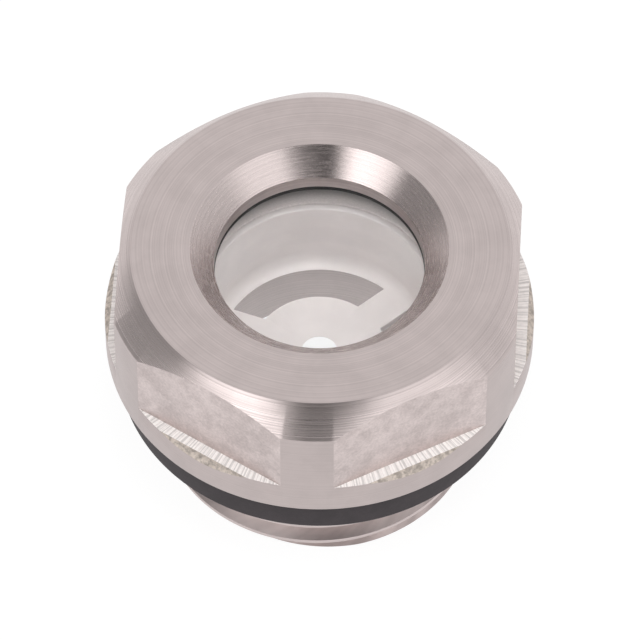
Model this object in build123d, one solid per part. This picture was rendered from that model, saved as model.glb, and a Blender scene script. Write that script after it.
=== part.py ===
from build123d import *
import math
import os

# Screw-in fluid level sight: a one-piece stainless housing turned from round bar, with six
# milled spanner flats, a glass disc behind a thin gasket, a drawn white reflector cup and a
# snap ring that closes the bore from behind. It stands on its threaded end: z = 0 is the end
# face of the thread, +Z is the symmetry axis and points out through the window.
# All sizes are in millimetres.

# Head
bar_diameter = 28.0             # round bar: collar and corner lands
across_flats = 25.8             # 26 mm spanner
head_height = 9.3               # from the collar's underside to the top face
top_face_diameter = 24.1        # flat annulus round the window
top_chamfer_drop = 1.22         # height of the cone between the top face and the bar
flat_depth = 6.45               # from the top face to the cutter's flat bottom strip
strip_width = 0.71              # flat bottom strip, outwards from each spanner flat
ramp_drop = 0.38                # how far the pocket's floor falls from the strip to the bar
flat_count = 6
first_flat_azimuth = -60.0      # the nearest corner then points along -Y

# Window and bore
window_diameter = 13.4
countersink_diameter = 16.5
countersink_depth = 1.72
lip_bottom_depth = 2.58         # underside of the retaining lip, below the top face
bore_diameter = 15.9
bore_mouth_chamfer = 0.4

# Spigot
thread_major_diameter = 20.9    # G 1/2, right-hand
thread_pitch = 1.814
thread_depth = 1.16             # from the crest to the root of the groove
thread_crest_width = 0.3
thread_root_width = 0.3
thread_first_height = -0.9      # middle of the groove where it begins, below the end face
thread_first_azimuth = -42.7
thread_turns = 4.4              # up to the middle of the neck
spigot_length = 10.5            # from the collar's underside to the end face
end_chamfer = 0.73
relief_diameter = 18.4          # neck behind the thread, where the seal sits
relief_length = 3.75
collar_edge_chamfer = 0.17      # lower rim of the collar

# Seal under the collar
seal_outer_diameter = 26.2
seal_thickness = 3.1
seal_bore_clearance = 0.15      # between the seal's bore and the neck
seal_edge_chamfer = 0.2         # both outer rims

# Glass and its gasket
gasket_thickness = 0.3
gasket_proud = 0.05             # how far the gasket's bore stands clear of the window's edge
glass_thickness = 4.8
glass_bevel = 0.3
bore_clearance = 0.1            # radial, between the bore and what slides into it

# Reflector cup, drawn from thin sheet
reflector_wall = 0.5
reflector_depth = 6.2           # from its rim to the underside of its floor
reflector_corner_radius = 0.95  # inside the cup
slot_count = 3
slot_inner_radius = 4.55
slot_outer_radius = 6.6
slot_web = 2.6                  # width of the straight web between two slots
first_web_azimuth = 41.6
center_hole_diameter = 2.3

# Snap ring of square wire
snap_wire_width = 1.0           # radial
snap_wire_height = 0.9          # axial
snap_groove_depth = 0.45        # radial depth of its groove in the bore
snap_groove_play = 0.1          # axial play of the wire in its groove
snap_gap_degrees = 40.0         # opening between the ring's ends
snap_gap_azimuth = 90.0
snap_seat_clearance = 0.03      # between the wire and the reflector's rounded corner

overshoot = 1.0                 # how far a cutter runs past the faces that it opens

# Radii and heights that follow from the sizes above
bar_radius = bar_diameter / 2
bore_radius = bore_diameter / 2
window_radius = window_diameter / 2
thread_radius = thread_major_diameter / 2
collar_base = spigot_length
top_face = collar_base + head_height
strip_level = top_face - flat_depth
lip_bottom = top_face - lip_bottom_depth
glass_top = lip_bottom - gasket_thickness
glass_bottom = glass_top - glass_thickness
inner_radius = bore_radius - bore_clearance
reflector_bottom = glass_bottom - reflector_depth
reflector_floor = reflector_bottom + reflector_wall
reflector_outer_corner = reflector_corner_radius + reflector_wall
snap_groove_radius = bore_radius + snap_groove_depth
snap_outer_radius = snap_groove_radius - bore_clearance
snap_inner_radius = snap_outer_radius - snap_wire_width

# The ring's upper inner edge sits just under the reflector's rounded outer corner.
snap_reach = snap_inner_radius - (inner_radius - reflector_outer_corner)
corner_sag = reflector_outer_corner - math.sqrt(reflector_outer_corner ** 2 - snap_reach ** 2)
snap_top = reflector_bottom + corner_sag - snap_seat_clearance
snap_bottom = snap_top - snap_wire_height


def turned(points):
    """A body of revolution about Z from the corners (radius, height) of its half section."""
    section = make_face(Polyline(*[(r, 0, z) for r, z in points], close=True))
    return revolve(section, Axis.Z)


def flat_cutter():
    """The stock that one spanner flat removes: an extruded pocket, open upwards and outwards."""
    inner = across_flats / 2
    outer = bar_radius + overshoot
    ramp_run = bar_radius - inner - strip_width
    ramp_low = strip_level - ramp_drop * (outer - inner - strip_width) / ramp_run
    above = top_face + overshoot
    section = make_face(Polyline(
        (inner, 0, above), (inner, 0, strip_level), (inner + strip_width, 0, strip_level),
        (outer, 0, ramp_low), (outer, 0, above), close=True))
    return extrude(section, amount=bar_radius, dir=(0, 1, 0), both=True)


def thread_groove():
    """The helical groove between the thread's ridges, from below the end face to the neck."""
    root = thread_radius - thread_depth
    outer = thread_radius + bore_clearance
    flank = (thread_pitch - thread_crest_width - thread_root_width) / 2 / thread_depth
    half_root = thread_root_width / 2
    half_mouth = half_root + flank * (outer - root)
    section = make_face(Polyline(
        (root, 0, thread_first_height - half_root), (outer, 0, thread_first_height - half_mouth),
        (outer, 0, thread_first_height + half_mouth), (root, 0, thread_first_height + half_root),
        close=True))
    path = Helix(thread_pitch, thread_pitch * thread_turns, root,
                 center=(0, 0, thread_first_height))
    return Rot(0, 0, thread_first_azimuth) * sweep(section, path=path, is_frenet=True)


def housing():
    top_radius = top_face_diameter / 2
    sink_radius = countersink_diameter / 2
    blank = turned([
        (sink_radius, top_face), (top_radius, top_face),
        (bar_radius, top_face - top_chamfer_drop), (bar_radius, collar_base + collar_edge_chamfer),
        (bar_radius - collar_edge_chamfer, collar_base), (relief_diameter / 2, collar_base),
        (relief_diameter / 2, collar_base - relief_length),
        (thread_radius, collar_base - relief_length - thread_radius + relief_diameter / 2),
        (thread_radius, end_chamfer), (thread_radius - end_chamfer, 0),
        (bore_radius + bore_mouth_chamfer, 0), (bore_radius, bore_mouth_chamfer),
        (bore_radius, lip_bottom), (window_radius, lip_bottom),
        (window_radius, top_face - countersink_depth)])
    groove_low = snap_bottom - snap_groove_play
    groove_high = snap_top + snap_groove_play
    blank -= turned([
        (bore_radius - overshoot, groove_low), (snap_groove_radius, groove_low),
        (snap_groove_radius, groove_high), (bore_radius - overshoot, groove_high)])
    pockets = [Rot(0, 0, first_flat_azimuth + i * 360 / flat_count) * flat_cutter()
               for i in range(flat_count)]
    return blank - pockets - thread_groove()


def tank_seal():
    """The square-section sealing ring between the collar and the tank wall."""
    inner = relief_diameter / 2 + seal_bore_clearance
    ring = turned([
        (inner, collar_base), (seal_outer_diameter / 2, collar_base),
        (seal_outer_diameter / 2, collar_base - seal_thickness),
        (inner, collar_base - seal_thickness)])
    rims = ring.edges().filter_by(GeomType.CIRCLE).group_by(SortBy.RADIUS)[-1]
    return chamfer(rims, seal_edge_chamfer)


def glass_gasket():
    """The thin gasket between the retaining lip and the glass."""
    inner = window_radius + gasket_proud
    return turned([(inner, lip_bottom), (inner_radius, lip_bottom),
                   (inner_radius, glass_top), (inner, glass_top)])


def sight_glass():
    disc = turned([(0, glass_top), (inner_radius, glass_top),
                   (inner_radius, glass_bottom), (0, glass_bottom)])
    return chamfer(disc.edges().filter_by(GeomType.CIRCLE), glass_bevel)


def slot_cutters():
    """The arc slots: a ring that the straight webs divide, cut down through the cup's floor."""
    low, high = reflector_bottom - overshoot, reflector_floor + overshoot
    ring = turned([(slot_inner_radius, low), (slot_outer_radius, low),
                   (slot_outer_radius, high), (slot_inner_radius, high)])
    reach = 2 * slot_outer_radius
    web = Pos(reach / 2, 0, (low + high) / 2) * Box(reach, slot_web, high - low + overshoot)
    return ring - [Rot(0, 0, first_web_azimuth + i * 360 / slot_count) * web
                   for i in range(slot_count)]


def rim(solid, radius, height):
    """The circular edges of a turned solid that have this radius and height."""
    return [edge for edge in solid.edges().filter_by(GeomType.CIRCLE)
            if abs(edge.radius - radius) < 1e-4 and abs(edge.center().Z - height) < 1e-4]


def reflector():
    """A shallow cup, open towards the glass, with arc slots and a hole in its flat floor."""
    outer = inner_radius
    inner = outer - reflector_wall
    cup = turned([(0, reflector_bottom), (outer, reflector_bottom), (outer, glass_bottom),
                  (inner, glass_bottom), (inner, reflector_floor), (0, reflector_floor)])
    cup = fillet(rim(cup, inner, reflector_floor), reflector_corner_radius)
    cup = fillet(rim(cup, outer, reflector_bottom), reflector_outer_corner)
    hole = Pos(0, 0, reflector_bottom + reflector_wall / 2) * Cylinder(
        center_hole_diameter / 2, reflector_wall + 2 * overshoot)
    return cup - slot_cutters() - hole


def snap_ring():
    """A ring of square wire, open at its gap, sprung into the groove under the reflector."""
    section = make_face(Polyline(
        (snap_inner_radius, 0, snap_bottom), (snap_outer_radius, 0, snap_bottom),
        (snap_outer_radius, 0, snap_top), (snap_inner_radius, 0, snap_top), close=True))
    ring = revolve(section, Axis.Z, 360 - snap_gap_degrees)
    return Rot(0, 0, snap_gap_azimuth + snap_gap_degrees / 2) * ring


os.makedirs("parts", exist_ok=True)
export_step(housing(), "parts/housing.step")
export_step(tank_seal(), "parts/tank_seal.step")
export_step(glass_gasket(), "parts/glass_gasket.step")
export_step(sight_glass(), "parts/sight_glass.step")
export_step(reflector(), "parts/reflector.step")
export_step(snap_ring(), "parts/snap_ring.step")
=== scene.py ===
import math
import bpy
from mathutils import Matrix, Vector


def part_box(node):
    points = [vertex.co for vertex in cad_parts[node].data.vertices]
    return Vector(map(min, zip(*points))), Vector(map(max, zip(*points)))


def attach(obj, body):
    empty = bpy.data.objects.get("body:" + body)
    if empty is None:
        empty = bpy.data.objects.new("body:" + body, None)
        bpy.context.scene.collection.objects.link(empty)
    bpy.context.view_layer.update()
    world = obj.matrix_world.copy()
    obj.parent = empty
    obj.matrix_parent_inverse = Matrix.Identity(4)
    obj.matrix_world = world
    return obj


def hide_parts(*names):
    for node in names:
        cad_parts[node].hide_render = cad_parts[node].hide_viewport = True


bl_info = {
    "name": "Tank Level Gauge",
    "version": (1, 0, 0),
    "blender": (4, 5, 0),
    "location": "3D View > Sidebar > Level Gauge",
    "description": "Models a screw-in hexagon level sight with its glass, reflector and sealing ring",
    "category": "Add Mesh",
}

import bpy
from bpy.props import FloatProperty, FloatVectorProperty, IntProperty, PointerProperty
from mathutils import Matrix, Vector

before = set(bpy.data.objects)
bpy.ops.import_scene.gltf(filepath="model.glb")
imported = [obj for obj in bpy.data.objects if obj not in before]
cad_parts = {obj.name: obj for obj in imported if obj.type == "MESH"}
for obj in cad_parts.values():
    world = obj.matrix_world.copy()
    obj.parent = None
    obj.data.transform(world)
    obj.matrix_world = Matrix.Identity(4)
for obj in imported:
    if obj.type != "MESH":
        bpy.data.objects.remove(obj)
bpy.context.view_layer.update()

# Pieces are shaped at one unit to the millimetre and brought to metres when they are finished.
MM = 0.001

# Corners of a full turn, and the distance in millimetres within which two corners are one.
HOUSING_STEPS = 288
GLASS_STEPS = 256
CUP_STEPS = 240
GROOVE_STEPS = 144
MERGE_DISTANCE = 1e-4

# Lengths in millimetres that the sidebar doesn't offer.
BORE_MOUTH = 0.4
RING_PLAY = 0.1
CUTTER_OVERRUN = 1
POCKET_END_ROOM = 0.7
GROOVE_OVERRUN = 0.08
SEAL_BORE_ROOM = 0.15
SEAL_EXTRA_RADIUS = 0.15
SEAL_EXTRA_DEPTH = 0.1
WIRE_WIDTH = 1
WIRE_ROUND = 0.15

# Directions in degrees.
FIRST_FLAT_AZIMUTH = -60
RING_GAP_AZIMUTH = 90
RING_GAP_HALF_ANGLE = 20

HOUSING_LOW, HOUSING_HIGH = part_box("housing")
SEAL_LOW, SEAL_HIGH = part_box("tank_seal")
GLASS_LOW, GLASS_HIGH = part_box("sight_glass")
GASKET_LOW, GASKET_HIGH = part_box("glass_gasket")
REFLECTOR_LOW, REFLECTOR_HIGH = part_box("reflector")
RING_LOW, RING_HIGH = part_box("snap_ring")


def length(name, description, default):
    """A length that the sidebar shows in the scene's units."""
    return FloatProperty(name=name, description=description, default=default, min=0.0,
                         subtype="DISTANCE", unit="LENGTH", precision=5)


def angle(name, description, degrees):
    return FloatProperty(name=name, description=description, default=math.radians(degrees),
                         subtype="ANGLE", unit="ROTATION")


def colour(name, description, default):
    return FloatVectorProperty(name=name, description=description, default=default, min=0.0, max=1.0,
                               size=3, subtype="COLOR")


def share(name, description, default):
    return FloatProperty(name=name, description=description, default=default, min=0.0, max=1.0,
                         subtype="FACTOR")


# ---------------------------------------------------------------------------------------------
# Settings


class GaugeHeadSettings(bpy.types.PropertyGroup):
    bar_diameter: length("Bar diameter", "Round bar that the head is turned from", 0.028)
    across_flats: length("Across flats", "Spanner size of the hexagon", 0.02576)
    head_height: length("Head height", "From the collar's underside to the top face", 0.0095)
    top_face_diameter: length("Top face diameter", "Flat ring round the window", 0.02444)
    top_chamfer_drop: length("Chamfer drop", "Height of the cone round the top face", 0.00175)
    flat_depth: length("Flat depth", "From the top face to the cutter's bottom strip", 0.00695)
    strip_width: length("Strip width", "Bottom strip outwards from each flat", 0.00071)
    ramp_drop: length("Ramp drop", "Fall of the pocket's floor to the bar's surface", 0.00038)
    edge_round: length("Edge round", "Rounding of the head's turned edges", 0.00013)
    cut_edge_round: length("Cut edge round", "Rounding of the milled edges", 0.00008)
    window_diameter: length("Window diameter", "Clear opening in the lip", 0.01362)
    countersink_diameter: length("Countersink diameter", "Wide end of the countersink", 0.01672)
    countersink_depth: length("Countersink depth", "Below the top face", 0.0016)
    bore_diameter: length("Bore diameter", "Bore that holds the glass", 0.0159)
    flat_count: IntProperty(name="Flats", description="Number of spanner flats", default=6, min=3)


class GaugeThreadSettings(bpy.types.PropertyGroup):
    major_diameter: length("Major diameter", "Over the thread's crests", 0.0209)
    pitch: length("Pitch", "Rise of one turn", 0.001814)
    depth: length("Thread depth", "From crest to root", 0.00116)
    crest_width: length("Crest width", "Flat on top of the ridge", 0.0003)
    root_width: length("Root width", "Flat at the bottom of the groove", 0.0003)
    end_chamfer: length("End chamfer", "At the thread's end", 0.0004)
    relief_diameter: length("Relief diameter", "Neck under the seal", 0.0184)
    relief_length: length("Relief length", "Length of the neck", 0.00375)
    start_azimuth: angle("Start azimuth", "Where the groove begins", -42.7)
    start_depth: length("Start depth", "Middle of the groove's beginning below the end face", 0.00112)
    turns: FloatProperty(name="Turns", description="Length of the groove in turns", default=4.4, min=1.0)


class GaugeGlassSettings(bpy.types.PropertyGroup):
    glass_bevel: length("Glass bevel", "Ground edge of the glass", 0.00015)
    reflector_wall: length("Reflector wall", "Sheet thickness of the cup", 0.0005)
    reflector_corner: length("Reflector corner", "Inside radius of the cup's corner", 0.00095)
    slot_inner_radius: length("Slot inner radius", "Inner edge of the arc slots", 0.0044)
    slot_outer_radius: length("Slot outer radius", "Outer edge of the arc slots", 0.0066)
    slot_web: length("Slot web", "Straight web between two slots", 0.0023)
    web_azimuth: angle("Web azimuth", "Direction of the first web", 42.8)
    center_hole_diameter: length("Centre hole", "Hole in the reflector's floor", 0.0023)
    slot_count: IntProperty(name="Slots", description="Number of arc slots", default=3, min=1)


class GaugeFinishSettings(bpy.types.PropertyGroup):
    steel: colour("Steel", "Turned and milled steel", (0.56, 0.488, 0.477))
    # The strip's near-white steel is a painted reflection of the overhead light.
    strip_steel_painted_highlight: colour("Strip steel", "Freshly cut strip in the pockets", (0.98, 0.925, 0.90))
    # The ramp's darker tan steel is painted shade with a painted reflection of the flat above it.
    ramp_steel_painted_shade: colour("Ramp steel", "Torn steel below the strip", (0.68, 0.60, 0.54))
    rubber: colour("Rubber", "Sealing ring", (0.043, 0.034, 0.038))
    gasket: colour("Gasket", "Ring behind the lip", (0.018, 0.017, 0.017))
    lacquer: colour("Lacquer", "White coating of the reflector", (0.94, 0.885, 0.868))
    wire: colour("Wire", "Snap ring", (0.42, 0.40, 0.39))
    turned_roughness: share("Turned roughness", "Gloss of the turned faces", 0.34)
    milled_roughness: share("Milled roughness", "Gloss of the milled flats", 0.45)
    polished_roughness: share("Polished roughness", "Gloss of the countersink", 0.25)


class GaugeStageSettings(bpy.types.PropertyGroup):
    light_level: FloatProperty(name="Light level", description="Plain light on the object", default=0.6)
    window_light: FloatProperty(name="Window light", default=2.6,
                                description="Overhead light that reaches the reflector through the glass")
    floor_size: length("Floor size", "Side of the floor", 1.6)
    camera_elevation: angle("Camera elevation", "Above the horizon", 54.25)
    camera_azimuth: angle("Camera azimuth", "Turned about the axis", 3.26)
    camera_distance: length("Camera distance", "From the top face", 0.38556)
    camera_rise: length("Camera rise", "Top face above the middle of the view", 0.004669)
    camera_aside: length("Camera aside", "Sideways from the axis", 0.000036)
    lens: FloatProperty(name="Lens", description="Focal length in millimetres", default=337.5)


SETTINGS = {
    "gauge_head": GaugeHeadSettings,
    "gauge_thread": GaugeThreadSettings,
    "gauge_glass": GaugeGlassSettings,
    "gauge_finish": GaugeFinishSettings,
    "gauge_stage": GaugeStageSettings,
}


class InMillimetres:
    """Reads a settings group's lengths in millimetres."""

    def __init__(self, group):
        self.group = group

    def __getattr__(self, name):
        return getattr(self.group, name) / MM


# ---------------------------------------------------------------------------------------------
# Modelling by hand


def select_only(*objects):
    if bpy.context.object and bpy.context.object.mode != "OBJECT":
        bpy.ops.object.mode_set(mode="OBJECT")
    bpy.ops.object.select_all(action="DESELECT")
    for item in objects:
        item.select_set(True)
    if objects:
        bpy.context.view_layer.objects.active = objects[0]


def eased(corners, pieces=5):
    """The outline (radius, height) with each corner (radius, height, round) turned into an arc."""
    outline = []
    for i, (r, z, round_radius) in enumerate(corners):
        here = Vector((r, z))
        if not round_radius:
            outline.append(here)
            continue
        before = (Vector(corners[i - 1][:2]) - here).normalized()
        after = (Vector(corners[(i + 1) % len(corners)][:2]) - here).normalized()
        half = before.angle(after) / 2
        reach = round_radius / math.tan(half)
        centre = here + (before + after).normalized() * round_radius / math.sin(half)
        first = here + before * reach - centre
        last = here + after * reach - centre
        start = math.atan2(first.y, first.x)
        sweep = (math.atan2(last.y, last.x) - start + math.pi) % math.tau - math.pi
        for k in range(pieces + 1):
            turn = start + sweep * k / pieces
            outline.append(centre + Vector((math.cos(turn), math.sin(turn))) * round_radius)
    return outline


def turn_solid(name, outline, steps, through=True):
    """A turned solid: a circle is extruded and resized from one corner of the outline to the next.

    With through, the outline is closed round a bore; without it, both ends are filled flat.
    """
    select_only()
    first = outline[0]
    bpy.ops.mesh.primitive_circle_add(vertices=steps, radius=first.x, location=(0, 0, first.y))
    solid = bpy.context.object
    solid.name = name
    bpy.ops.object.transform_apply(location=True, rotation=True, scale=True)
    bpy.ops.object.mode_set(mode="EDIT")
    previous = first
    for corner in outline[1:] + ([first] if through else []):
        bpy.ops.mesh.extrude_region_move(
            TRANSFORM_OT_translate={"value": (0, 0, corner.y - previous.y)})
        factor = corner.x / previous.x
        bpy.ops.transform.resize(value=(factor, factor, 1), center_override=(0, 0, 0))
        previous = corner
    bpy.ops.mesh.select_all(action="SELECT")
    bpy.ops.mesh.remove_doubles(threshold=MERGE_DISTANCE)
    if not through:
        bpy.ops.mesh.fill_holes(sides=0)
    bpy.ops.mesh.select_all(action="SELECT")
    bpy.ops.mesh.normals_make_consistent(inside=False)
    bpy.ops.object.mode_set(mode="OBJECT")
    return solid


def apply_modifier(solid, kind, **values):
    select_only(solid)
    modifier = solid.modifiers.new(kind.lower(), kind)
    for key, value in values.items():
        setattr(modifier, key, value)
    bpy.ops.object.modifier_apply(modifier=modifier.name)


def cut(solid, tool):
    """Takes the tool's shape out of the solid and throws the tool away."""
    apply_modifier(solid, "BOOLEAN", operation="DIFFERENCE", solver="EXACT", object=tool)
    bpy.data.objects.remove(tool)


def block(name, low, high):
    """A box between two corners, in millimetres."""
    select_only()
    low, high = Vector(low), Vector(high)
    bpy.ops.mesh.primitive_cube_add(size=1, location=(low + high) / 2)
    box = bpy.context.object
    box.name = name
    box.scale = high - low
    bpy.ops.object.transform_apply(location=True, rotation=True, scale=True)
    return box


def turned_copies(source, count, first_azimuth):
    """Copies of a tool round the axis, joined into one tool. The source stays at azimuth 0."""
    copies = []
    for i in range(count):
        copy = source.copy()
        copy.data = source.data.copy()
        bpy.context.collection.objects.link(copy)
        copy.rotation_euler.z = first_azimuth + math.tau * i / count
        copies.append(copy)
    bpy.data.objects.remove(source)
    select_only(*copies)
    bpy.ops.object.transform_apply(location=True, rotation=True, scale=True)
    if count > 1:
        bpy.ops.object.join()
    return bpy.context.object


def finish_piece(piece, node, smooth_degrees=28):
    """Smooths a piece, brings it to metres and puts it in its CAD node's place."""
    select_only(piece)
    bpy.ops.object.shade_smooth_by_angle(angle=math.radians(smooth_degrees))
    piece.scale = (MM, MM, MM)
    bpy.ops.object.transform_apply(location=True, rotation=True, scale=True)
    piece.data.name = piece.name
    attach(piece, "root")
    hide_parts(node)


# ---------------------------------------------------------------------------------------------
# Finishes


def feed(tree, socket, value):
    """Links a node's output to a socket, or sets the socket to a plain value."""
    if isinstance(value, bpy.types.NodeSocket):
        tree.links.new(value, socket)
    else:
        socket.default_value = value


def maths_node(tree, operation, a, b=0.0):
    made = tree.nodes.new("ShaderNodeMath")
    made.operation = operation
    feed(tree, made.inputs[0], a)
    feed(tree, made.inputs[1], b)
    return made.outputs[0]


class Finish:
    """A node material that is built up from short calls."""

    def __init__(self, name, base, roughness, metallic=1.0):
        self.material = bpy.data.materials.new(name)
        self.material.use_nodes = True
        self.tree = self.material.node_tree
        self.shader = self.tree.nodes["Principled BSDF"]
        self.shader.inputs["Base Color"].default_value = (*base, 1)
        self.shader.inputs["Roughness"].default_value = roughness
        self.shader.inputs["Metallic"].default_value = metallic
        coordinates = self.tree.nodes.new("ShaderNodeTexCoord")
        self.place = coordinates.outputs["Object"]
        self.base = base

    def node(self, kind, settings=None, **inputs):
        made = self.tree.nodes.new(kind)
        for key, value in (settings or {}).items():
            setattr(made, key, value)
        for key, value in inputs.items():
            feed(self.tree, made.inputs[key.replace("_", " ")], value)
        return made

    def maths(self, operation, a, b=0.0):
        return maths_node(self.tree, operation, a, b)

    def axes(self):
        split = self.node("ShaderNodeSeparateXYZ", Vector=self.place)
        return split.outputs[0], split.outputs[1], split.outputs[2]

    def radius(self):
        x, y, _ = self.axes()
        return self.maths("SQRT", self.maths("ADD", self.maths("MULTIPLY", x, x),
                                             self.maths("MULTIPLY", y, y)))

    def azimuth(self):
        x, y, _ = self.axes()
        return self.maths("ARCTAN2", y, x)

    def lines(self, along, spacing, detail=2.0):
        """Uneven parallel tool marks: noise along one measure, in metres."""
        made = self.node("ShaderNodeTexNoise", {"noise_dimensions": "1D"},
                         W=self.maths("DIVIDE", along, spacing), Scale=1.0, Detail=detail,
                         Roughness=0.6)
        return made.outputs["Fac"]

    def grain(self, size, detail=3.0, seed=(0, 0, 0)):
        """Cloudy or gritty noise with patches of this size, in metres."""
        mapping = self.node("ShaderNodeMapping", Vector=self.place)
        mapping.inputs["Scale"].default_value = [1 / size] * 3
        mapping.inputs["Location"].default_value = seed
        made = self.node("ShaderNodeTexNoise", Vector=mapping.outputs[0], Scale=1.0,
                         Detail=detail, Roughness=0.6)
        return made.outputs["Fac"]

    def between(self, value, low, high, to_low, to_high):
        made = self.node("ShaderNodeMapRange", {"interpolation_type": "SMOOTHSTEP"})
        feed(self.tree, made.inputs["Value"], value)
        for key, number in (("From Min", low), ("From Max", high), ("To Min", to_low),
                            ("To Max", to_high)):
            made.inputs[key].default_value = number
        return made.outputs["Result"]

    def tone(self, *factors):
        """Multiplies the base colour by each grey factor."""
        total = factors[0]
        for factor in factors[1:]:
            total = self.maths("MULTIPLY", total, factor)
        scaled = self.node("ShaderNodeVectorMath", {"operation": "SCALE"}, Scale=total)
        scaled.inputs[0].default_value = self.base
        self.tree.links.new(scaled.outputs[0], self.shader.inputs["Base Color"])

    def vary_roughness(self, value):
        self.tree.links.new(value, self.shader.inputs["Roughness"])

    def brushed(self, amount):
        """Gloss that spreads across the lathe rings, which run round the axis."""
        self.shader.inputs["Anisotropic"].default_value = amount
        self.shader.inputs["Anisotropic Rotation"].default_value = 0.25

    def relief(self, *heights):
        """Stacks bumps: each is (height socket, depth in metres)."""
        normal = None
        for height, depth in heights:
            bump = self.node("ShaderNodeBump", Height=height, Distance=depth, Strength=1.0)
            if normal:
                self.tree.links.new(normal, bump.inputs["Normal"])
            normal = bump.outputs["Normal"]
        self.tree.links.new(normal, self.shader.inputs["Normal"])


def turned_steel(name, finish, rise, spacing, roughness, depth, contrast=0.1, painted_light_and_shade=1.0):
    """Steel with lathe rings. The rings follow the radius plus rise times the height."""
    # The last factor lightens or darkens the steel: painted light and shade for how much light falls on
    # the faces that each copy covers.
    made = Finish(name, [painted_light_and_shade * part for part in finish.steel], roughness)
    radius = made.radius()
    _, _, z = made.axes()
    along = made.maths("ADD", radius, made.maths("MULTIPLY", z, rise))
    fine = made.lines(along, spacing)
    coarse = made.lines(along, spacing * 5.3, 1.0)
    cloud = made.grain(0.0022)
    made.tone(made.between(fine, 0.3, 0.7, 1 - contrast, 1 + contrast * 0.6),
              made.between(coarse, 0.35, 0.65, 1 - contrast * 0.5, 1.0),
              made.between(cloud, 0.35, 0.65, 0.96, 1.02))
    made.vary_roughness(made.between(fine, 0.3, 0.7, roughness * 1.15, roughness * 0.85))
    made.relief((fine, depth), (coarse, depth * 1.5))
    made.brushed(0.6)
    return made.material


def milled_steel(name, finish):
    """The spanner flats: a fine grit with soft blotches."""
    # The flats' steel is lightened by 1.14 as painted light.
    made = Finish(name, [1.14 * part for part in finish.steel], finish.milled_roughness)
    grit = made.grain(0.00016, 4.0)
    blotch = made.grain(0.0011, 3.0, seed=(3.1, 0.7, 5.2))
    cloud = made.grain(0.0042, 2.0, seed=(7.1, 2.7, 1.2))
    made.tone(made.between(grit, 0.3, 0.7, 0.90, 1.06), made.between(blotch, 0.35, 0.65, 0.93, 1.04),
              made.between(cloud, 0.35, 0.65, 0.95, 1.03))
    made.vary_roughness(made.between(blotch, 0.35, 0.65, 0.50, 0.40))
    made.relief((grit, 0.000012), (blotch, 0.00001))
    return made.material


def strip_steel_painted_highlight(name, finish):
    """The pockets' flat strips: chatter marks across the cutter's path.

    Their near-white colour is a painted reflection of the overhead light, and they are not metallic, so
    that this painted brightness shows from every side.
    """
    made = Finish(name, finish.strip_steel_painted_highlight, 0.5, metallic=0.0)
    along = made.maths("MULTIPLY", made.azimuth(), HOUSING_HIGH.x)
    marks = made.lines(along, 0.00019, 1.0)
    grit = made.grain(0.00022, 3.0)
    made.tone(made.between(marks, 0.36, 0.60, 0.74, 1.06), made.between(grit, 0.3, 0.7, 0.93, 1.03))
    made.relief((marks, 0.00002), (grit, 0.00001))
    return made.material


def ramp_steel_painted_shade(name, finish):
    """The pockets' lower ramps, where the cutter tore the steel; their darker tan colour is painted shade
    and a painted reflection of the flat above.
    """
    made = Finish(name, finish.ramp_steel_painted_shade, 0.55)
    torn = made.grain(0.00034, 3.0, seed=(2.0, 5.1, 0.4))
    grit = made.grain(0.00015, 3.0)
    made.tone(made.between(torn, 0.34, 0.62, 0.64, 1.06), made.between(grit, 0.3, 0.7, 0.88, 1.06))
    made.relief((torn, 0.00005), (grit, 0.00001))
    return made.material


def polished_steel(name, finish):
    """The countersink: a smoother turned cone with scattered scratches."""
    # The countersink's steel is lightened by 1.2 as painted light.
    made = Finish(name, [1.2 * part for part in finish.steel], finish.polished_roughness)
    _, _, z = made.axes()
    rings = made.lines(z, 0.00007)
    around = made.maths("MULTIPLY", made.azimuth(), 0.008)
    scratch_place = made.node("ShaderNodeCombineXYZ", X=made.maths("DIVIDE", around, 0.0011),
                              Y=made.maths("DIVIDE", z, 0.00009))
    scratches = made.node("ShaderNodeTexNoise", Vector=scratch_place.outputs[0], Scale=1.0,
                          Detail=3.0, Roughness=0.65).outputs["Fac"]
    made.tone(made.between(rings, 0.3, 0.7, 0.93, 1.04), made.between(scratches, 0.3, 0.7, 0.9, 1.06))
    made.vary_roughness(made.between(scratches, 0.35, 0.7, finish.polished_roughness * 0.85,
                                     finish.polished_roughness * 1.2))
    made.relief((rings, 0.000004), (scratches, 0.000009))
    made.brushed(0.8)
    return made.material


def seal_rubber(name, finish):
    made = Finish(name, finish.rubber, 0.62, metallic=0.0)
    grit = made.grain(0.00014, 3.0)
    cloud = made.grain(0.0016, 2.0)
    made.tone(made.between(cloud, 0.3, 0.7, 0.88, 1.12), made.between(grit, 0.3, 0.7, 0.93, 1.06))
    made.relief((grit, 0.000006), (cloud, 0.00002))
    made.shader.inputs["Specular IOR Level"].default_value = 0.35
    return made.material


def gasket_rubber(name, finish):
    made = Finish(name, finish.gasket, 0.55, metallic=0.0)
    cloud = made.grain(0.0008, 2.0)
    made.tone(made.between(cloud, 0.3, 0.7, 0.8, 1.2))
    return made.material


def white_lacquer(name, finish):
    made = Finish(name, finish.lacquer, 0.32, metallic=0.0)
    cloud = made.grain(0.0024, 2.0)
    peel = made.grain(0.0004, 2.0, seed=(1.3, 4.1, 2.2))
    made.tone(made.between(cloud, 0.3, 0.7, 0.965, 1.01))
    made.relief((peel, 0.000003))
    made.shader.inputs["Coat Weight"].default_value = 0.25
    made.shader.inputs["Coat Roughness"].default_value = 0.12
    return made.material


def clear_glass(name):
    made = Finish(name, (1.0, 1.0, 1.0), 0.0, metallic=0.0)
    made.shader.inputs["Transmission Weight"].default_value = 1.0
    made.shader.inputs["IOR"].default_value = 1.52
    return made.material


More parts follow.
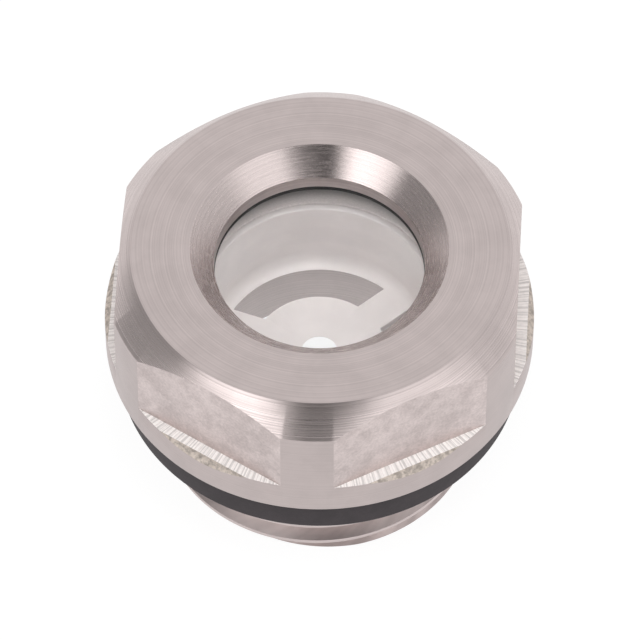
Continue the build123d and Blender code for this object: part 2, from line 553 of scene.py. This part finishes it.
def ground_glass(name, finish):
    """The glass disc's ground edge. Its shade is painted, from bright at the reflector's end
    to dark under the lip."""
    made = Finish(name, finish.lacquer, 0.6, metallic=0.0)
    _, _, z = made.axes()
    grit = made.grain(0.00012, 3.0)
    painted_light_and_shade = made.between(z, GLASS_LOW.z, GLASS_LOW.z + 0.0030, 1.0, 0.2)
    made.tone(painted_light_and_shade, made.between(grit, 0.3, 0.7, 0.9, 1.05))
    made.relief((grit, 0.00001))
    return made.material


def spring_wire(name, finish):
    made = Finish(name, finish.wire, 0.3)
    drawn = made.lines(made.radius(), 0.00008)
    made.tone(made.between(drawn, 0.3, 0.7, 0.9, 1.05))
    made.relief((drawn, 0.000005))
    return made.material


# ---------------------------------------------------------------------------------------------
# Pieces


def housing_outline(head, thread):
    """The housing's half section, counted round from the countersink's upper edge."""
    top = HOUSING_HIGH.z / MM
    collar = top - head.head_height
    bar, crest, neck = head.bar_diameter / 2, thread.major_diameter / 2, thread.relief_diameter / 2
    bore, window = head.bore_diameter / 2, head.window_diameter / 2
    sink = head.countersink_diameter / 2
    lip = GASKET_HIGH.z / MM
    ease = head.edge_round
    neck_end = collar - thread.relief_length
    groove_low, groove_high = RING_LOW.z / MM - RING_PLAY, RING_HIGH.z / MM + RING_PLAY
    groove = RING_HIGH.x / MM + RING_PLAY
    return eased([
        (sink, top, ease), (head.top_face_diameter / 2, top, ease),
        (bar, top - head.top_chamfer_drop, ease), (bar, collar, ease * 1.8),
        (neck, collar, 0), (neck, neck_end, 0), (crest, neck_end - crest + neck, 0),
        (crest, thread.end_chamfer, 0), (crest - thread.end_chamfer, 0, 0),
        (bore + BORE_MOUTH, 0, 0), (bore, BORE_MOUTH, 0), (bore, groove_low, 0), (groove, groove_low, 0),
        (groove, groove_high, 0), (bore, groove_high, 0), (bore, lip, 0), (window, lip, ease / 2),
        (window, top - head.countersink_depth, ease / 2)])


def pocket_tools(head, flat_count):
    """The six cutters that mill the spanner flats and leave a pocket at each one's foot."""
    top = HOUSING_HIGH.z / MM
    bar, flat = head.bar_diameter / 2, head.across_flats / 2
    outer = bar + CUTTER_OVERRUN
    half_chord = math.sqrt(bar ** 2 - flat ** 2) + POCKET_END_ROOM
    floor = top - head.flat_depth
    tool = block("pocket_tool", (flat, -half_chord, floor),
                 (outer, half_chord, top + CUTTER_OVERRUN))
    bpy.ops.object.mode_set(mode="EDIT")
    bpy.ops.mesh.bisect(plane_co=(flat + head.strip_width, 0, 0), plane_no=(1, 0, 0))
    bpy.ops.mesh.select_all(action="DESELECT")
    bpy.ops.object.mode_set(mode="OBJECT")
    for corner in tool.data.vertices:
        corner.select = corner.co.x > outer - 0.01 and corner.co.z < floor + 0.01
    bpy.ops.object.mode_set(mode="EDIT")
    ramp_run = bar - flat - head.strip_width
    fall = head.ramp_drop * (outer - flat - head.strip_width) / ramp_run
    bpy.ops.transform.translate(value=(0, 0, -fall))
    bpy.ops.object.mode_set(mode="OBJECT")
    return turned_copies(tool, flat_count, math.radians(FIRST_FLAT_AZIMUTH))


def groove_tool(thread, turns, azimuth):
    """The thread's groove as a solid: a wedge section run up a helix."""
    crest = thread.major_diameter / 2
    root = crest - thread.depth
    outside = crest + GROOVE_OVERRUN
    slope = (thread.pitch - thread.crest_width - thread.root_width) / 2 / thread.depth
    open_half = thread.root_width / 2 + slope * (outside - root)
    start = -thread.start_depth
    select_only()
    bpy.ops.mesh.primitive_plane_add(size=1, rotation=(math.pi / 2, 0, 0))
    tool = bpy.context.object
    tool.name = "groove_tool"
    tool.scale = (outside - root, 1, 1)
    tool.location = ((outside + root) / 2, 0, start)
    bpy.ops.object.transform_apply(location=True, rotation=True, scale=True)
    for corner in tool.data.vertices:
        half = open_half if corner.co.x > (outside + root) / 2 else thread.root_width / 2
        corner.co.z = start + math.copysign(half, corner.co.z - start)
    whole_turns = math.ceil(turns)
    apply_modifier(tool, "SCREW", angle=math.tau * turns / whole_turns, iterations=whole_turns,
                   screw_offset=thread.pitch * turns / whole_turns, steps=GROOVE_STEPS,
                   render_steps=GROOVE_STEPS, use_merge_vertices=False)
    bpy.ops.object.mode_set(mode="EDIT")
    bpy.ops.mesh.select_all(action="SELECT")
    bpy.ops.mesh.remove_doubles(threshold=MERGE_DISTANCE)
    bpy.ops.mesh.fill_holes(sides=0)
    bpy.ops.mesh.select_all(action="SELECT")
    bpy.ops.mesh.normals_make_consistent(inside=False)
    bpy.ops.object.mode_set(mode="OBJECT")
    tool.rotation_euler.z = azimuth
    bpy.ops.object.transform_apply(location=True, rotation=True, scale=True)
    return tool


def dress_housing(piece, head, finish):
    """Gives each region of the housing the finish that its cutting tool left; each region's steel is
    lightened or darkened with painted light and shade.
    """
    top = HOUSING_HIGH.z / MM
    bar, flat, sink = head.bar_diameter / 2, head.across_flats / 2, head.countersink_diameter / 2
    floor = top - head.flat_depth
    # The face, cone, side, thread and bore are lit and shaded copies of one steel: their last number is
    # painted light and shade, darkest for the bore in its recess.
    finishes = {
        "face": turned_steel("steel_turned_face", finish, 0.0, 0.00011, finish.turned_roughness,
                             0.000006, 0.07, painted_light_and_shade=1.22),
        "cone": turned_steel("steel_turned_cone", finish, -1.0, 0.00016, 0.3, 0.00001, 0.12,
                             1.2),
        "side": turned_steel("steel_turned_side", finish, 3.0, 0.00014, 0.38, 0.000004, 0.05,
                             0.96),
        "thread": turned_steel("steel_thread", finish, 1.75, 0.00012, 0.44, 0.000008, 0.12, 1.2),
        "flat": milled_steel("steel_milled_flat", finish),
        "strip": strip_steel_painted_highlight("steel_strip_painted_highlight", finish),
        "ramp": ramp_steel_painted_shade("steel_ramp_painted_shade", finish),
        "sink": polished_steel("steel_countersink", finish),
        "bore": turned_steel("steel_bore", finish, 1.0, 0.0001, 0.36, 0.000006, 0.1, 0.82),
    }
    names = list(finishes)
    for material in finishes.values():
        piece.data.materials.append(material)
    for face in piece.data.polygons:
        middle, normal = face.center, face.normal
        radius = math.hypot(middle.x, middle.y)
        outward = normal.x * middle.x + normal.y * middle.y
        if radius < sink - 0.02 and middle.z > top - head.countersink_depth + 0.02 and outward < 0:
            region = "sink"
        elif radius < sink - 0.02 and outward < 0:
            region = "bore"
        elif middle.z > top - 0.005 and normal.z > 0.9:
            region = "face"
        elif middle.z < top - head.head_height - 0.02:
            region = "thread"
        elif radius > bar - 0.02 or middle.z < floor - head.ramp_drop - 0.1:
            region = "side"
        elif middle.z < floor + 0.05 and normal.z > 0.3:
            region = "strip" if normal.z > 0.93 else "ramp"
        elif abs(normal.z) < 0.15:
            region = "flat"
        else:
            region = "cone"
        face.material_index = names.index(region)


class GAUGE_OT_housing(bpy.types.Operator):
    """Model the one-piece housing: hexagon head, window, collar and thread"""

    bl_idname = "gauge.housing"
    bl_label = "Housing"

    def execute(self, context):
        settings = context.scene
        head, thread = InMillimetres(settings.gauge_head), InMillimetres(settings.gauge_thread)
        piece = turn_solid("gauge_housing", housing_outline(head, thread), HOUSING_STEPS)
        cut(piece, pocket_tools(head, settings.gauge_head.flat_count))
        apply_modifier(piece, "BEVEL", width=head.cut_edge_round, segments=2, limit_method="ANGLE",
                       angle_limit=math.radians(20), loop_slide=True, use_clamp_overlap=True)
        cut(piece, groove_tool(thread, settings.gauge_thread.turns,
                               settings.gauge_thread.start_azimuth))
        dress_housing(piece, head, settings.gauge_finish)
        finish_piece(piece, "housing")
        return {"FINISHED"}


class GAUGE_OT_seal(bpy.types.Operator):
    """Model the sealing ring under the collar"""

    bl_idname = "gauge.seal"
    bl_label = "Sealing ring"

    def execute(self, context):
        head = context.scene.gauge_head
        low = SEAL_LOW.z / MM - SEAL_EXTRA_DEPTH
        high = (HOUSING_HIGH.z - head.head_height) / MM
        outer = SEAL_HIGH.x / MM + SEAL_EXTRA_RADIUS
        inner = context.scene.gauge_thread.relief_diameter / 2 / MM + SEAL_BORE_ROOM
        piece = turn_solid("gauge_seal", eased([
            (inner, low, 0.1), (inner, high, 0.1), (outer, high, 0.12), (outer, low, 0.2)], 8),
            HOUSING_STEPS)
        piece.data.materials.append(seal_rubber("rubber_seal", context.scene.gauge_finish))
        finish_piece(piece, "tank_seal", 40)
        return {"FINISHED"}


class GAUGE_OT_gasket(bpy.types.Operator):
    """Model the thin ring between the lip and the glass"""

    bl_idname = "gauge.gasket"
    bl_label = "Glass gasket"

    def execute(self, context):
        low, high, outer = GASKET_LOW.z / MM, GASKET_HIGH.z / MM, GASKET_HIGH.x / MM
        inner = context.scene.gauge_head.window_diameter / 2 / MM - 0.03
        piece = turn_solid("gauge_gasket", eased([
            (inner, low, 0.08), (inner, high, 0.08), (outer, high, 0.05), (outer, low, 0.05)], 4),
            GLASS_STEPS)
        piece.data.materials.append(gasket_rubber("rubber_gasket", context.scene.gauge_finish))
        finish_piece(piece, "glass_gasket", 40)
        return {"FINISHED"}


class GAUGE_OT_glass(bpy.types.Operator):
    """Model the glass disc with its ground edges"""

    bl_idname = "gauge.glass"
    bl_label = "Sight glass"

    def execute(self, context):
        low, high, outer = GLASS_LOW.z / MM, GLASS_HIGH.z / MM, GLASS_HIGH.x / MM
        bevel = context.scene.gauge_glass.glass_bevel / MM
        piece = turn_solid("gauge_glass", eased([
            (outer - bevel, low, 0.05), (outer, low + bevel, 0.05), (outer, high - bevel, 0.05),
            (outer - bevel, high, 0.05)], 3), GLASS_STEPS, through=False)
        piece.data.materials.append(clear_glass("glass_clear"))
        piece.data.materials.append(ground_glass("glass_ground", context.scene.gauge_finish))
        for face in piece.data.polygons:
            face.material_index = int(abs(face.normal.z) < 0.95)
        finish_piece(piece, "sight_glass", 20)
        return {"FINISHED"}


# The reflector's openings widen by this much per millimetre of depth, so that their walls
# aren't seen through the glass. The solids' openings are straight.
UNDERCUT = 0.75


def slot_tools(glass, slot_count, web_azimuth):
    """Cutters for the arc slots: a ring divided by straight webs."""
    floor = REFLECTOR_LOW.z / MM + glass.reflector_wall
    low, high = floor - 1.5, floor + 1
    inner, outer = glass.slot_inner_radius, glass.slot_outer_radius
    ring = turn_solid("slot_tool", [Vector(corner) for corner in (
        (inner, low), (outer + UNDERCUT * 1.5, low), (outer - UNDERCUT, high), (inner, high))],
        CUP_STEPS)
    half = glass.slot_web / 2
    web = block("web_tool", (0, -half, low - 1), (2 * outer, half, high + 1))
    cut(ring, turned_copies(web, slot_count, web_azimuth))
    return ring


class GAUGE_OT_reflector(bpy.types.Operator):
    """Model the drawn reflector cup with its slots and centre hole"""

    bl_idname = "gauge.reflector"
    bl_label = "Reflector"

    def execute(self, context):
        settings = context.scene.gauge_glass
        glass = InMillimetres(settings)
        low, high, outer = REFLECTOR_LOW.z / MM, REFLECTOR_HIGH.z / MM, REFLECTOR_HIGH.x / MM
        wall, corner = glass.reflector_wall, glass.reflector_corner
        hole = glass.center_hole_diameter / 2
        floor, inner = low + wall, outer - wall
        piece = turn_solid("gauge_reflector", eased([
            (hole + UNDERCUT * wall, low, 0), (outer, low, corner + wall), (outer, high, 0.12),
            (inner, high, 0.12), (inner, floor, corner), (hole, floor, 0.03)], 8), CUP_STEPS)
        cut(piece, slot_tools(glass, settings.slot_count, settings.web_azimuth))
        apply_modifier(piece, "BEVEL", width=0.02, segments=2, limit_method="ANGLE",
                       angle_limit=math.radians(40), loop_slide=True, use_clamp_overlap=True)
        piece.data.materials.append(white_lacquer("lacquer_white", context.scene.gauge_finish))
        finish_piece(piece, "reflector", 35)
        return {"FINISHED"}


class GAUGE_OT_snap_ring(bpy.types.Operator):
    """Model the square-wire ring that holds the reflector from behind"""

    bl_idname = "gauge.snap_ring"
    bl_label = "Snap ring"

    def execute(self, context):
        low, high, outer = RING_LOW.z / MM, RING_HIGH.z / MM, -RING_LOW.y / MM
        piece = turn_solid("gauge_snap_ring", eased([
            (outer - WIRE_WIDTH, low, WIRE_ROUND), (outer, low, WIRE_ROUND),
            (outer, high, WIRE_ROUND), (outer - WIRE_WIDTH, high, WIRE_ROUND)], 4), CUP_STEPS)
        reach = outer * 2
        spread = math.radians(RING_GAP_HALF_ANGLE)
        gap = block("gap_tool", (0, -1, low - 1), (reach, 1, high + 1))
        for corner in gap.data.vertices:
            if corner.co.x > 1:
                corner.co.y = math.copysign(reach * math.tan(spread), corner.co.y)
            else:
                corner.co.y = math.copysign(0.01, corner.co.y)
        cut(piece, turned_copies(gap, 1, math.radians(RING_GAP_AZIMUTH)))
        piece.data.materials.append(spring_wire("wire_spring", context.scene.gauge_finish))
        finish_piece(piece, "snap_ring", 35)
        return {"FINISHED"}


# ---------------------------------------------------------------------------------------------
# Stage


def direction(azimuth_degrees, elevation_degrees):
    azimuth, elevation = math.radians(azimuth_degrees), math.radians(elevation_degrees)
    return (math.cos(elevation) * math.cos(azimuth), math.cos(elevation) * math.sin(azimuth),
            math.sin(elevation))


# Soft areas of the studio that metal shows, placed for the view from in front:
# azimuth, elevation, half width in degrees, and how much each adds to the walls' level.
STUDIO_AREAS = (
    (-88, 36, 27, -1.2),
    (-88, 62, 25, -0.7),
    (-132, 32, 29, 1.6),
    (-178, 26, 45, -0.58),
    (-56, 20, 47, 0.62),
)


def studio_world(stage):
    """Pale to the camera, an even level on matt surfaces, soft light and dark areas in metal.

    Light that reaches the reflector through the glass is raised by the window light.
    """
    world = bpy.data.worlds.new("studio")
    bpy.context.scene.world = world
    world.use_nodes = True
    tree = world.node_tree
    tree.nodes.clear()
    output = tree.nodes.new("ShaderNodeOutputWorld")
    place = tree.nodes.new("ShaderNodeTexCoord").outputs["Generated"]
    ray = tree.nodes.new("ShaderNodeLightPath")

    def maths(operation, a, b):
        return maths_node(tree, operation, a, b)

    turn = math.degrees(stage.camera_azimuth)
    total = 1.0
    for azimuth, elevation, half_width, amount in STUDIO_AREAS:
        dot = tree.nodes.new("ShaderNodeVectorMath")
        dot.operation = "DOT_PRODUCT"
        tree.links.new(place, dot.inputs[0])
        dot.inputs[1].default_value = direction(azimuth + turn, elevation)
        soft = tree.nodes.new("ShaderNodeMapRange")
        soft.interpolation_type = "SMOOTHSTEP"
        tree.links.new(dot.outputs["Value"], soft.inputs["Value"])
        soft.inputs["From Min"].default_value = math.cos(math.radians(half_width))
        soft.inputs["From Max"].default_value = math.cos(math.radians(half_width * 0.35))
        soft.inputs["To Max"].default_value = amount
        total = maths("ADD", soft.outputs["Result"], total)
    inside = maths("MULTIPLY", ray.outputs["Is Transmission Ray"],
                   maths("GREATER_THAN", ray.outputs["Diffuse Depth"], 0.5))
    seen = maths("MAXIMUM", ray.outputs["Is Camera Ray"], ray.outputs["Is Transmission Ray"])
    seen = maths("ADD", seen, maths("MULTIPLY", inside, stage.window_light - 1.0))
    matt = ray.outputs["Is Diffuse Ray"]
    soft_studio = maths("MULTIPLY", maths("SUBTRACT", 1.0, matt), maths("MAXIMUM", total, 0.1))
    unseen = maths("ADD", soft_studio, maths("MULTIPLY", matt, stage.light_level))
    hidden = maths("MAXIMUM", maths("SUBTRACT", 1.0, seen), 0.0)
    strength = maths("ADD", seen, maths("MULTIPLY", hidden, unseen))
    background = tree.nodes.new("ShaderNodeBackground")
    tree.links.new(strength, background.inputs["Strength"])
    tree.links.new(background.outputs[0], output.inputs["Surface"])


def floor_material():
    """Pale floor: white to the camera and in metal, with the object's faint shadow kept."""
    material = bpy.data.materials.new("floor_white")
    material.use_nodes = True
    tree = material.node_tree
    tree.nodes.clear()
    output = tree.nodes.new("ShaderNodeOutputMaterial")
    ray = tree.nodes.new("ShaderNodeLightPath")
    plain = tree.nodes.new("ShaderNodeBsdfDiffuse")
    plain.inputs["Color"].default_value = (0.8, 0.8, 0.8, 1)
    shadow = tree.nodes.new("ShaderNodeBsdfDiffuse")
    shadow.inputs["Color"].default_value = (0.16, 0.16, 0.16, 1)
    glow = tree.nodes.new("ShaderNodeEmission")
    glow.inputs["Strength"].default_value = 0.9
    shown = tree.nodes.new("ShaderNodeAddShader")
    tree.links.new(shadow.outputs[0], shown.inputs[0])
    tree.links.new(glow.outputs[0], shown.inputs[1])
    bounced = maths_node(tree, "MAXIMUM", ray.outputs["Is Glossy Ray"],
                         ray.outputs["Is Transmission Ray"])
    direct = maths_node(tree, "MAXIMUM", ray.outputs["Is Camera Ray"], bounced)
    mix = tree.nodes.new("ShaderNodeMixShader")
    tree.links.new(direct, mix.inputs[0])
    tree.links.new(plain.outputs[0], mix.inputs[1])
    tree.links.new(shown.outputs[0], mix.inputs[2])
    tree.links.new(mix.outputs[0], output.inputs["Surface"])
    return material


# Lamps: name, azimuth and elevation in degrees, and power in watts.
LAMPS = (("top_light", -70, 72, 1.1), ("side_light", -142, 45, 0.25))
LAMP_DISTANCE = 0.5
LAMP_SIZE = 0.3


def area_light(name, azimuth, elevation, power):
    """A soft lamp that faces the object."""
    select_only()
    place = Vector(direction(azimuth, elevation)) * LAMP_DISTANCE
    bpy.ops.object.light_add(type="AREA", location=place)
    lamp = bpy.context.object
    lamp.name = name
    lamp.rotation_euler = (-place).to_track_quat("-Z", "Y").to_euler()
    lamp.data.size = LAMP_SIZE
    lamp.data.energy = power
    lamp.visible_glossy = False
    lamp.visible_camera = False


def stage_camera(stage):
    """The camera looks down on the window from in front."""
    turn = Matrix.Rotation(stage.camera_azimuth, 3, "Z")
    lift = stage.camera_elevation
    ahead = turn @ Vector((0, math.cos(lift), -math.sin(lift)))
    up = turn @ Vector((0, math.sin(lift), math.cos(lift)))
    right = ahead.cross(up)
    top_centre = Vector((0, 0, HOUSING_HIGH.z))
    place = (top_centre + right * stage.camera_aside - up * stage.camera_rise
             - ahead * stage.camera_distance)
    bpy.ops.object.camera_add(location=place)
    camera = bpy.context.object
    camera.name = "camera"
    camera.rotation_euler = Matrix((right, up, -ahead)).transposed().to_euler()
    camera.data.sensor_width = 36
    camera.data.lens = stage.lens
    camera.data.clip_start = 0.01
    bpy.context.scene.camera = camera


class GAUGE_OT_stage(bpy.types.Operator):
    """Set up the pale floor, the soft lights and the camera"""

    bl_idname = "gauge.stage"
    bl_label = "Stage"

    def execute(self, context):
        stage = context.scene.gauge_stage
        select_only()
        bpy.ops.mesh.primitive_plane_add(size=stage.floor_size, location=(0, 0, -0.00002))
        floor = context.object
        floor.name = "floor"
        floor.data.materials.append(floor_material())
        studio_world(stage)
        for lamp in LAMPS:
            area_light(*lamp)
        stage_camera(stage)
        context.scene.view_settings.view_transform = "Standard"
        return {"FINISHED"}


class GAUGE_PT_panel(bpy.types.Panel):
    """Lists the gauge's pieces and their sizes"""

    bl_label = "Tank Level Gauge"
    bl_idname = "GAUGE_PT_panel"
    bl_space_type = "VIEW_3D"
    bl_region_type = "UI"
    bl_category = "Level Gauge"

    def draw(self, context):
        for operator in OPERATORS:
            self.layout.operator(operator.bl_idname)
        for group in SETTINGS:
            box = self.layout.box()
            settings = getattr(context.scene, group)
            for name in settings.bl_rna.properties.keys():
                if name not in ("rna_type", "name"):
                    box.prop(settings, name)


OPERATORS = (GAUGE_OT_housing, GAUGE_OT_seal, GAUGE_OT_gasket, GAUGE_OT_glass, GAUGE_OT_reflector,
             GAUGE_OT_snap_ring, GAUGE_OT_stage)
CLASSES = (*SETTINGS.values(), *OPERATORS, GAUGE_PT_panel)


def register():
    for item in CLASSES:
        bpy.utils.register_class(item)
    for group, settings in SETTINGS.items():
        setattr(bpy.types.Scene, group, PointerProperty(type=settings))


def unregister():
    for group in SETTINGS:
        delattr(bpy.types.Scene, group)
    for item in reversed(CLASSES):
        bpy.utils.unregister_class(item)


def main():
    register()
    bpy.ops.gauge.housing()
    bpy.ops.gauge.seal()
    bpy.ops.gauge.gasket()
    bpy.ops.gauge.glass()
    bpy.ops.gauge.reflector()
    bpy.ops.gauge.snap_ring()
    bpy.ops.gauge.stage()
    select_only()


if __name__ == "__main__":
    main()
